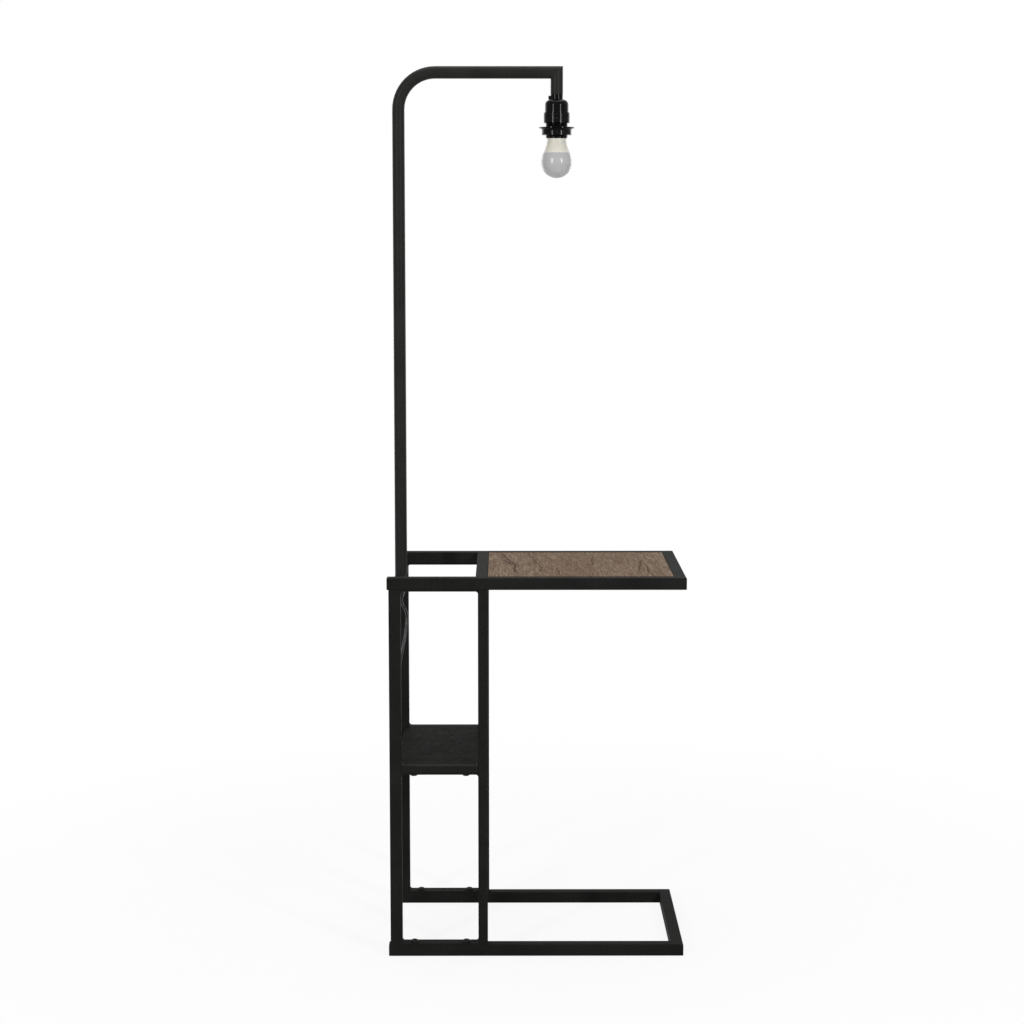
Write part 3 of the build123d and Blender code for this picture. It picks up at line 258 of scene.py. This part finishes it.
def worked_metal(name, dark, light, smooth, rough):
    """Bare or plated metal: bright, clouded by handling, with short scratches from the barrel it was finished in."""
    made, tree, shader, point = finish_of(name)
    tone = {FACTOR: patches(tree, point, 7.0, 0.0, 1.0, 3.0), FROM: linear(dark), TO: linear(light)}
    tone = add(tree, "ShaderNodeMix", tone, data_type="RGBA").outputs[MIXED]
    # turned askew to the piece, and drawn out one way
    skew = {"Vector": point, "Rotation": (0.6, 0.3, 0.8), "Scale": (1.0, 0.12, 1.0)}
    skew = add(tree, "ShaderNodeMapping", skew).outputs[0]
    # the scratches are hair fine, drawn 0.6 mm wide so that they show
    scratch = {"Height": patches(tree, skew, 0.6, 0.0, 1.0), "Strength": 0.25, "Distance": 0.02 * MM}
    scratch = add(tree, "ShaderNodeBump", scratch)
    dress(tree, shader, tone, patches(tree, point, 4.0, smooth, rough), scratch.outputs[0])
    shader.inputs["Metallic"].default_value = 1.0
    return made


def glazed_steatite():
    """Ceramic core: cream white under a thin glaze, with sparse dark specks from the kiln."""
    made, tree, shader, point = finish_of("glazed_steatite")
    tone = {FACTOR: patches(tree, point, 12.0, 0.0, 1.0, 3.0), FROM: linear("#e2ddd1"), TO: linear("#efece4")}
    tone = add(tree, "ShaderNodeMix", tone, data_type="RGBA").outputs[MIXED]
    # cells of 3 mm, with a speck half a millimetre across where the middle of a cell meets the surface
    speck = add(tree, "ShaderNodeTexVoronoi", {"Vector": point, "Scale": per(3.0)})
    speck = {"Value": speck.outputs["Distance"], "From Min": 0.05, "From Max": 0.12, "To Min": 0.5, "To Max": 0.0}
    speck = add(tree, "ShaderNodeMapRange", speck).outputs[0]
    tone = {FACTOR: speck, FROM: tone, TO: linear("#8d8478")}
    tone = add(tree, "ShaderNodeMix", tone, data_type="RGBA").outputs[MIXED]
    wave = {"Height": patches(tree, point, 6.0, 0.0, 1.0), "Strength": 0.2, "Distance": 0.08 * MM}
    wave = add(tree, "ShaderNodeBump", wave)
    dress(tree, shader, tone, patches(tree, point, 8.0, 0.12, 0.25), wave.outputs[0])
    return made


finishes = {
    "powder_coat": black_powder_coat("black_powder_coat", "#181817", "#232322", 0.015, 0.5, 0.65),
    "oak_board": oak_decor(),
    "shelf_board": black_laminate(),
    # polyethylene caps: dull, a shade browner than the coat beside them
    "cap_plastic": even_finish("moulded_polyethylene", "#1b1a19", "#211f1e", 0.5, 0.03, 1.2, 0.03),
    # chemically blackened bolts: oily dark sheen
    "black_bolt": even_finish("black_oxide_steel", "#131313", "#1d1c1b", 0.4, 0.08, 1.0, 0.02),
    # zinc plate: blue-grey with a straw tint where it is thicker
    "zinc_steel": worked_metal("zinc_plated_steel", "#9ea3a8", "#c4bfae", 0.28, 0.45),
    # phenolic from a polished mould: near black and wet looking, slightly wavy
    "bakelite": even_finish("black_phenolic", "#020202", "#040404", 0.1, 0.08, 7.0, 0.03),
    "ceramic": glazed_steatite(),
    # turned brass: warm yellow, dulled by handling
    "brass": worked_metal("plain_brass", "#a8843f", "#cdab63", 0.25, 0.4),
    # nickel plate on rolled brass: pale, a little warm, bright enough to show the thread
    "nickel_cap": worked_metal("nickel_plate", "#b3b0a7", "#d2cfc8", 0.15, 0.3),
    # polycarbonate housing: creamy, satin
    "bulb_white": even_finish("cream_polycarbonate", "#d5d2c5", "#d9d6ca", 0.35, 0.25, 6.0, 0.01),
    # frosted polycarbonate: milky grey when the lamp is off, with a soft gloss
    "bulb_frost": even_finish("frosted_polycarbonate", "#acacad", "#b0b0b1", 0.2, 0.3, 9.0, 0.01),
    # white lacquer on the lamp board: clean, half matt
    "lamp_board": even_finish("white_solder_mask", "#e4e4e1", "#f0f0ed", 0.4, 0.4, 1.0, 0.01),
    # soft vinyl on the lead, the relief and the plug: black with a narrow bright highlight
    "black_pvc": even_finish("black_vinyl", "#0c0c0c", "#121212", 0.18, 0.28, 4.0, 0.01),
    # spark-eroded moulding: even matt grain
    "switch_plastic": even_finish("moulded_abs", "#131313", "#191919", 0.42, 0.3, 0.8, 0.04),
    # nickel plate, thin over brass: pale straw
    "blade_metal": worked_metal("nickel_plated_brass", "#b0a58a", "#cbc3ad", 0.2, 0.35),
}
# the pole and the stub get a copy of the coat with a closer and shinier film, and a touch greyer: painted sheen for
# the brighter middle of the tube
pole_sheen_coat = black_powder_coat("semi_gloss_powder_coat", "#1e1e1d", "#292928", 0.04, 0.34, 0.42)
for part in frame["record"]["subparts"]:
    mesh = nodes[part["node"]].data
    mesh.materials.clear()
    mesh.materials.append(finishes[part["material_slot"]])
for name in ("pole_tube", "lamp_stub"):
    nodes[name].data.materials[0] = pole_sheen_coat

# Details that repeat or wind, made by node trees


def detail_tree(name, sizes):
    """Empty node tree with these named inputs, a finish and a mesh output."""
    tree = bpy.data.node_groups.new(name, "GeometryNodeTree")
    for size, kind in sizes.items():
        tree.interface.new_socket(size, in_out="INPUT", socket_type=f"NodeSocket{kind}")
    tree.interface.new_socket("Finish", in_out="INPUT", socket_type="NodeSocketMaterial")
    tree.interface.new_socket("Mesh", in_out="OUTPUT", socket_type="NodeSocketGeometry")
    return tree, add(tree, "NodeGroupInput").outputs


def close_tree(tree, shape, given):
    """Set the shape in its place, as one plain mesh with smooth faces and its finish."""
    placed = add(
        tree, "GeometryNodeTransform",
        {"Geometry": shape, "Translation": given["Place"], "Rotation": given["Turn"]},
    )
    smooth = add(tree, "GeometryNodeSetShadeSmooth", {"Geometry": placed.outputs[0]})
    whole = add(tree, "GeometryNodeRealizeInstances", {"Geometry": smooth.outputs[0]})
    dressed = add(tree, "GeometryNodeSetMaterial", {"Geometry": whole.outputs[0], "Material": given["Finish"]})
    add(tree, "NodeGroupOutput", {"Mesh": dressed.outputs[0]})


def rolled_thread():
    """Tree: a closed shell whose wall is one round helical thread, as rolled in a bulb's screw base."""
    sizes = {"Radius": "Float", "Depth": "Float", "Pitch": "Float", "Height": "Float", "Lead-in": "Float"}
    tree, given = detail_tree("rolled_thread", sizes | {"Place": "Vector", "Turn": "Rotation"})
    # a sheet of 1 by 1 about the middle is rolled up: x goes round, y goes up
    around, up = 72, 122
    steps = {"Size X": 1.0, "Size Y": 1.0, "Vertices X": around + 1, "Vertices Y": up + 1}
    sheet = add(tree, "GeometryNodeMeshGrid", steps).outputs["Mesh"]
    at = add(tree, "ShaderNodeSeparateXYZ", {0: add(tree, "GeometryNodeInputPosition").outputs[0]}).outputs
    angle = {0: at["X"], 1: math.tau, 2: math.pi}
    angle = add(tree, "ShaderNodeMath", angle, operation="MULTIPLY_ADD").outputs[0]
    # the first and last rows close the ends, so the rise runs between the rows next to them
    inner = 0.5 - 1 / up
    rise = {"Value": at["Y"], "From Min": -inner, "From Max": inner, "To Min": 0.0, "To Max": given["Height"]}
    rise = add(tree, "ShaderNodeMapRange", rise).outputs[0]
    turns = add(tree, "ShaderNodeMath", {0: rise, 1: given["Pitch"]}, operation="DIVIDE").outputs[0]
    phase = {0: turns, 1: math.tau, 2: angle}
    phase = add(tree, "ShaderNodeMath", phase, operation="MULTIPLY_ADD").outputs[0]
    wave = add(tree, "ShaderNodeMath", {0: phase}, operation="COSINE").outputs[0]
    sink = {"Value": wave, "From Min": -1.0, "From Max": 1.0, "To Min": given["Depth"], "To Max": 0.0}
    sink = add(tree, "ShaderNodeMapRange", sink).outputs[0]
    crest = add(tree, "ShaderNodeMath", {0: given["Radius"], 1: sink}, operation="SUBTRACT").outputs[0]
    # the top edge is drawn in, so that the thread finds its way into the shell
    left = add(tree, "ShaderNodeMath", {0: given["Height"], 1: rise}, operation="SUBTRACT").outputs[0]
    drawn = {"From Min": 0.0, "From Max": given["Lead-in"], "To Min": given["Lead-in"], "To Max": 0.0}
    drawn = add(tree, "ShaderNodeMapRange", {"Value": left} | drawn).outputs[0]
    wall = add(tree, "ShaderNodeMath", {0: crest, 1: drawn}, operation="SUBTRACT").outputs[0]
    away = add(tree, "ShaderNodeMath", {0: at["Y"]}, operation="ABSOLUTE").outputs[0]
    inside = add(tree, "ShaderNodeMath", {0: away, 1: 0.5 - 1e-4}, operation="LESS_THAN").outputs[0]
    wall = add(tree, "ShaderNodeMath", {0: wall, 1: inside}, operation="MULTIPLY").outputs[0]
    x = add(tree, "ShaderNodeMath", {0: angle}, operation="COSINE").outputs[0]
    y = add(tree, "ShaderNodeMath", {0: angle}, operation="SINE").outputs[0]
    x = add(tree, "ShaderNodeMath", {0: x, 1: wall}, operation="MULTIPLY").outputs[0]
    y = add(tree, "ShaderNodeMath", {0: y, 1: wall}, operation="MULTIPLY").outputs[0]
    spot = add(tree, "ShaderNodeCombineXYZ", {"X": x, "Y": y, "Z": rise}).outputs[0]
    rolled = add(tree, "GeometryNodeSetPosition", {"Geometry": sheet, "Position": spot}).outputs[0]
    shut = add(tree, "GeometryNodeMergeByDistance", {"Geometry": rolled, "Distance": 1e-6}).outputs[0]
    close_tree(tree, shut, given)
    return tree


def relief_rings():
    """Tree: rings round a tapered sleeve, at equal steps from its wide end to its narrow one."""
    sizes = {"Rings": "Int", "Step": "Float", "Wide": "Float", "Narrow": "Float", "Bead": "Float"}
    tree, given = detail_tree("relief_rings", sizes | {"Place": "Vector", "Turn": "Rotation"})
    step = add(tree, "ShaderNodeCombineXYZ", {"Z": given["Step"]}).outputs[0]
    spots = add(tree, "GeometryNodeMeshLine", {"Count": given["Rings"], "Offset": step}).outputs[0]
    last = add(tree, "ShaderNodeMath", {0: given["Rings"], 1: 1.0}, operation="SUBTRACT").outputs[0]
    number = add(tree, "GeometryNodeInputIndex").outputs[0]
    size = {"From Min": 0.0, "From Max": last, "To Min": given["Wide"], "To Max": given["Narrow"]}
    size = add(tree, "ShaderNodeMapRange", {"Value": number} | size).outputs[0]
    hoop = add(tree, "GeometryNodeCurvePrimitiveCircle", {"Resolution": 48, "Radius": 1.0}).outputs[0]
    bead = add(tree, "ShaderNodeMath", {0: given["Bead"], 1: given["Wide"]}, operation="DIVIDE").outputs[0]
    bead = add(tree, "GeometryNodeCurvePrimitiveCircle", {"Resolution": 12, "Radius": bead}).outputs[0]
    ring = add(tree, "GeometryNodeCurveToMesh", {"Curve": hoop, "Profile Curve": bead}).outputs[0]
    rings = {"Points": spots, "Instance": ring, "Scale": size}
    close_tree(tree, add(tree, "GeometryNodeInstanceOnPoints", rings).outputs[0], given)
    return tree


def made_by(tree, name, body, slot, **sizes):
    """Run a tree with these sizes and keep its result as a plain mesh that rides a body."""
    holder = bpy.data.objects.new(name + "_tree", bpy.data.meshes.new(name + "_tree"))
    scene.collection.objects.link(holder)
    run = holder.modifiers.new(name, "NODES")
    run.node_group = tree
    for socket in tree.interface.items_tree:
        if socket.in_out == "INPUT":
            size = socket.name.replace("-", "_")
            run[socket.identifier] = finishes[slot] if size == "Finish" else sizes[size]
    whole = bpy.context.evaluated_depsgraph_get()
    mesh = bpy.data.meshes.new_from_object(holder.evaluated_get(whole), depsgraph=whole)
    mesh.name = name
    holder.modifiers.clear()
    bpy.data.objects.remove(holder)
    made = bpy.data.objects.new(name, mesh)
    scene.collection.objects.link(made)
    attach(made, body)
    return made


# the bulb's 26 mm screw base, 3.63 mm from turn to turn
low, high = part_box("bulb_cap")
bulb_thread = made_by(
    rolled_thread(), "bulb_thread", "bulb", "nickel_cap",
    Radius=13.0 * MM, Depth=0.75 * MM, Pitch=3.63 * MM, Height=high[2] - low[2], Lead_in=1.3 * MM,
    Place=((low[0] + high[0]) / 2, (low[1] + high[1]) / 2, low[2]), Turn=(0.0, 0.0, 0.0),
)
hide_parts("bulb_cap")

# four rings on the tapered relief under the pole
low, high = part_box("cord_relief")
made_by(
    relief_rings(), "pole_relief_rings", "frame", "black_pvc",
    Rings=4, Step=-2.6 * MM, Wide=6.2 * MM, Narrow=4.2 * MM, Bead=0.7 * MM,
    Place=((low[0] + high[0]) / 2, (low[1] + high[1]) / 2, low[2] + 10.0 * MM), Turn=(0.0, 0.0, 0.0),
)

# Camera at the photograph's place, looking down a little. Its focal length is in the photograph's pixels.
PHOTO_PX, FOCAL_PX = 1024, 2068.6
SENSOR_MM = 36.0
LOOK_DOWN, LOOK_RIGHT = math.radians(6.608), math.radians(0.172)
lens = bpy.data.cameras.new("camera")
lens.sensor_width = SENSOR_MM
lens.lens = FOCAL_PX / PHOTO_PX * SENSOR_MM
lens.shift_y = -0.04
camera = bpy.data.objects.new("camera", lens)
camera.location = (-0.0513, -3.5458, 1.2229)
camera.rotation_euler = (math.pi / 2 - LOOK_DOWN, 0.0, -LOOK_RIGHT)
scene.collection.objects.link(camera)
scene.camera = camera

# Mains lead, along the route of the solids, in millimetres
CORD_R = 2.3
# the hank's five runs lie on these lines, three on its near side and two on its far side
NEAR_OUT, NEAR_MID, NEAR_IN = -127.3, -122.15, -117.0
FAR_IN, FAR_OUT = -89.4, -84.25
HANK_Y = (NEAR_OUT + FAR_OUT) / 2
HANK_LEFT, HANK_RIGHT, HANK_MIDDLE = -190.5, -98.5, -144.5
# the tie draws each run in by this much, over this length to each side of the middle
WAIST, TIED = 5.0, 9.0
# height of the lead's middle where it lies on the floor, and where it passes over the hank's end
LOW, HIGH = 3.0, 8.5
# a fold's points stand at the corners of half an octagon round it
CORNER = math.tan(math.radians(22.5))


def hank_run(heading, y):
    """Two points of one run of the hank, where the tie draws it in."""
    y_tied = y + math.copysign(WAIST, HANK_Y - y)
    return [(HANK_MIDDLE - heading * TIED, y_tied, LOW), (HANK_MIDDLE + heading * TIED, y_tied, LOW)]


def hank_fold(heading, y_from, y_to):
    """Six points round the end of the hank that a run with this heading comes to."""
    x = HANK_RIGHT if heading > 0 else HANK_LEFT
    r = abs(y_to - y_from) / 2
    corner = CORNER * r
    y_mid = (y_from + y_to) / 2
    return [
        (x - heading * corner, y_from, LOW),
        (x + heading * corner, y_from, LOW),
        (x + heading * r, y_mid - heading * corner, LOW),
        (x + heading * r, y_mid + heading * corner, LOW),
        (x + heading * corner, y_to, LOW),
        (x - heading * corner, y_to, LOW),
    ]


lead_points = [
    # from the relief down between the left legs, towards the front
    (-233.0, 0.0, 592.0), (-233.0, 0.0, 581.0), (-225.5, 3.5, 568.0), (-222.5, 3.5, 555.0),
    (-226.0, -6.0, 526.0), (-232.5, -17.5, 491.0), (-240.5, -22.5, 450.0), (-243.0, -26.5, 403.0),
    (-243.5, -36.0, 349.9), (-243.0, -49.0, 293.0), (-242.0, -61.5, 238.0), (-241.5, -75.0, 185.3),
    (-242.0, -88.0, 137.9), (-243.2, -100.4, 97.1), (-244.5, -111.5, 61.0), (-244.2, -119.5, 33.7),
    # on to the floor and into the hank
    (-235.5, -124.5, 14.2), (-218.5, NEAR_OUT, LOW), (-190.5, NEAR_OUT, LOW),
    *hank_run(1, NEAR_OUT),
    *hank_fold(1, NEAR_OUT, FAR_OUT),
    *hank_run(-1, FAR_OUT),
    *hank_fold(-1, FAR_OUT, NEAR_MID),
    *hank_run(1, NEAR_MID),
    *hank_fold(1, NEAR_MID, FAR_IN),
    *hank_run(-1, FAR_IN),
    *hank_fold(-1, FAR_IN, NEAR_IN),
    *hank_run(1, NEAR_IN),
    # over the hank's end and on to the switch
    (-104.0, NEAR_IN, HIGH), (-72.0, NEAR_IN, HIGH), (-54.5, -118.5, 5.0), (-36.5, -120.0, 2.6),
    (-18.0, -118.0, 6.0), (0.0, -118.0, 6.0),
]
plug_points = [
    (50.0, -118.0, 6.0), (68.0, -118.0, 6.0), (89.0, -120.0, 3.4), (109.0, -121.0, 2.8),
    (128.0, -118.0, 6.0), (146.0, -118.0, 6.0),
]


def round_lead(name, points):
    """Round cord on one smooth spline with these control points, in millimetres."""
    curve = bpy.data.curves.new(name, "CURVE")
    curve.dimensions = "3D"
    curve.resolution_u = 10
    curve.bevel_depth = CORD_R * MM
    curve.bevel_resolution = 5
    curve.use_fill_caps = True
    spline = curve.splines.new("NURBS")
    spline.points.add(len(points) - 1)
    for at, point in zip(spline.points, points):
        at.co = (*[c * MM for c in point], 1.0)
    spline.order_u = 3
    spline.use_endpoint_u = True
    made = bpy.data.objects.new(name, curve)
    scene.collection.objects.link(made)
    curve.materials.append(finishes["black_pvc"])
    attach(made, "frame")
    return made


lead = round_lead("lead_to_switch", lead_points)
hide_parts("cord_drop", "cord_hank", "cord_tail")
plug_lead = round_lead("lead_to_plug", plug_points)
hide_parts("plug_lead")

# Floor, studio light and white background
FLOOR_HALF = 30


def shown_white(tree):
    """Share of the rays that see the surroundings as plain white: from the camera, and by way of gloss or glass."""
    ray = add(tree, "ShaderNodeLightPath").outputs
    seen = add(tree, "ShaderNodeMath", {0: ray["Is Camera Ray"], 1: ray["Is Glossy Ray"]}, operation="MAXIMUM")
    seen = {0: seen.outputs[0], 1: ray["Is Transmission Ray"]}
    return add(tree, "ShaderNodeMath", seen, operation="MAXIMUM").outputs[0]


corners = [(x * FLOOR_HALF, y * FLOOR_HALF, 0) for x, y in ((-1, -1), (1, -1), (1, 1), (-1, 1))]
floor_mesh = bpy.data.meshes.new("floor")
floor_mesh.from_pydata(corners, [], [(0, 1, 2, 3)])
floor = bpy.data.objects.new("floor", floor_mesh)
scene.collection.objects.link(floor)
paper = bpy.data.materials.new("white_paper_sweep")
paper.use_nodes = True
tree = paper.node_tree
tree.nodes.clear()
spot = add(tree, "ShaderNodeTexCoord").outputs["Object"]
away = add(tree, "ShaderNodeVectorMath", {0: spot}, operation="LENGTH").outputs["Value"]
# the sweep runs out into plain white 1.6 m from the object, and keeps its shadow near it
plain = {"Value": away, "From Min": 0.5, "From Max": 1.6, "To Min": 0.88, "To Max": 1.0}
plain = add(tree, "ShaderNodeMapRange", plain, interpolation_type="SMOOTHSTEP")
share = add(tree, "ShaderNodeMath", {0: shown_white(tree), 1: plain.outputs[0]}, operation="MULTIPLY")
lit = add(tree, "ShaderNodeBsdfDiffuse", {"Color": linear("#f2f2f2")})
glow = add(tree, "ShaderNodeEmission", {"Color": linear("#ffffff"), "Strength": 1.0})
both = add(tree, "ShaderNodeMixShader", {0: share.outputs[0], 1: lit.outputs[0], 2: glow.outputs[0]})
add(tree, "ShaderNodeOutputMaterial", {"Surface": both.outputs[0]})
floor_mesh.materials.append(paper)

world = bpy.data.worlds.new("studio")
world.use_nodes = True
scene.world = world
tree = world.node_tree
tree.nodes.clear()
# the room fills the shadows a little, and is white where it is seen
room = add(tree, "ShaderNodeBackground", {"Color": linear("#ffffff"), "Strength": 0.15})
white = add(tree, "ShaderNodeBackground", {"Color": linear("#ffffff"), "Strength": 1.0})
both = add(tree, "ShaderNodeMixShader", {0: shown_white(tree), 1: room.outputs[0], 2: white.outputs[0]})
add(tree, "ShaderNodeOutputWorld", {"Surface": both.outputs[0]})


def softbox(name, place, aim, width, height, watts):
    """Rectangular lamp of this width and height in metres, which faces the point it is aimed at."""
    lamp = bpy.data.lights.new(name, "AREA")
    lamp.shape = "RECTANGLE"
    lamp.size, lamp.size_y, lamp.energy = width, height, watts
    made = bpy.data.objects.new(name, lamp)
    made.location = place
    made.rotation_mode = "QUATERNION"
    made.rotation_quaternion = (Vector(aim) - Vector(place)).to_track_quat("-Z", "Y")
    scene.collection.objects.link(made)


# two narrow ones give the highlights on the lampholder and the bulb, two broad ones light the back
softbox("softbox_left", (-1.6, -2.2, 1.75), (0.0, 0.0, 1.1), 0.2, 1.2, 32)
softbox("softbox_right", (1.65, -2.2, 1.75), (0.0, 0.0, 1.1), 0.2, 1.2, 36)
softbox("softbox_behind_left", (-1.9, 2.5, 1.2), (0.0, 0.0, 0.8), 1.4, 1.8, 17)
softbox("softbox_behind_right", (1.9, 2.5, 1.2), (0.0, 0.0, 0.8), 1.4, 1.8, 17)
softbox("overhead", (0.0, 0.2, 3.2), (0.0, 0.0, 0.0), 2.4, 2.4, 46)
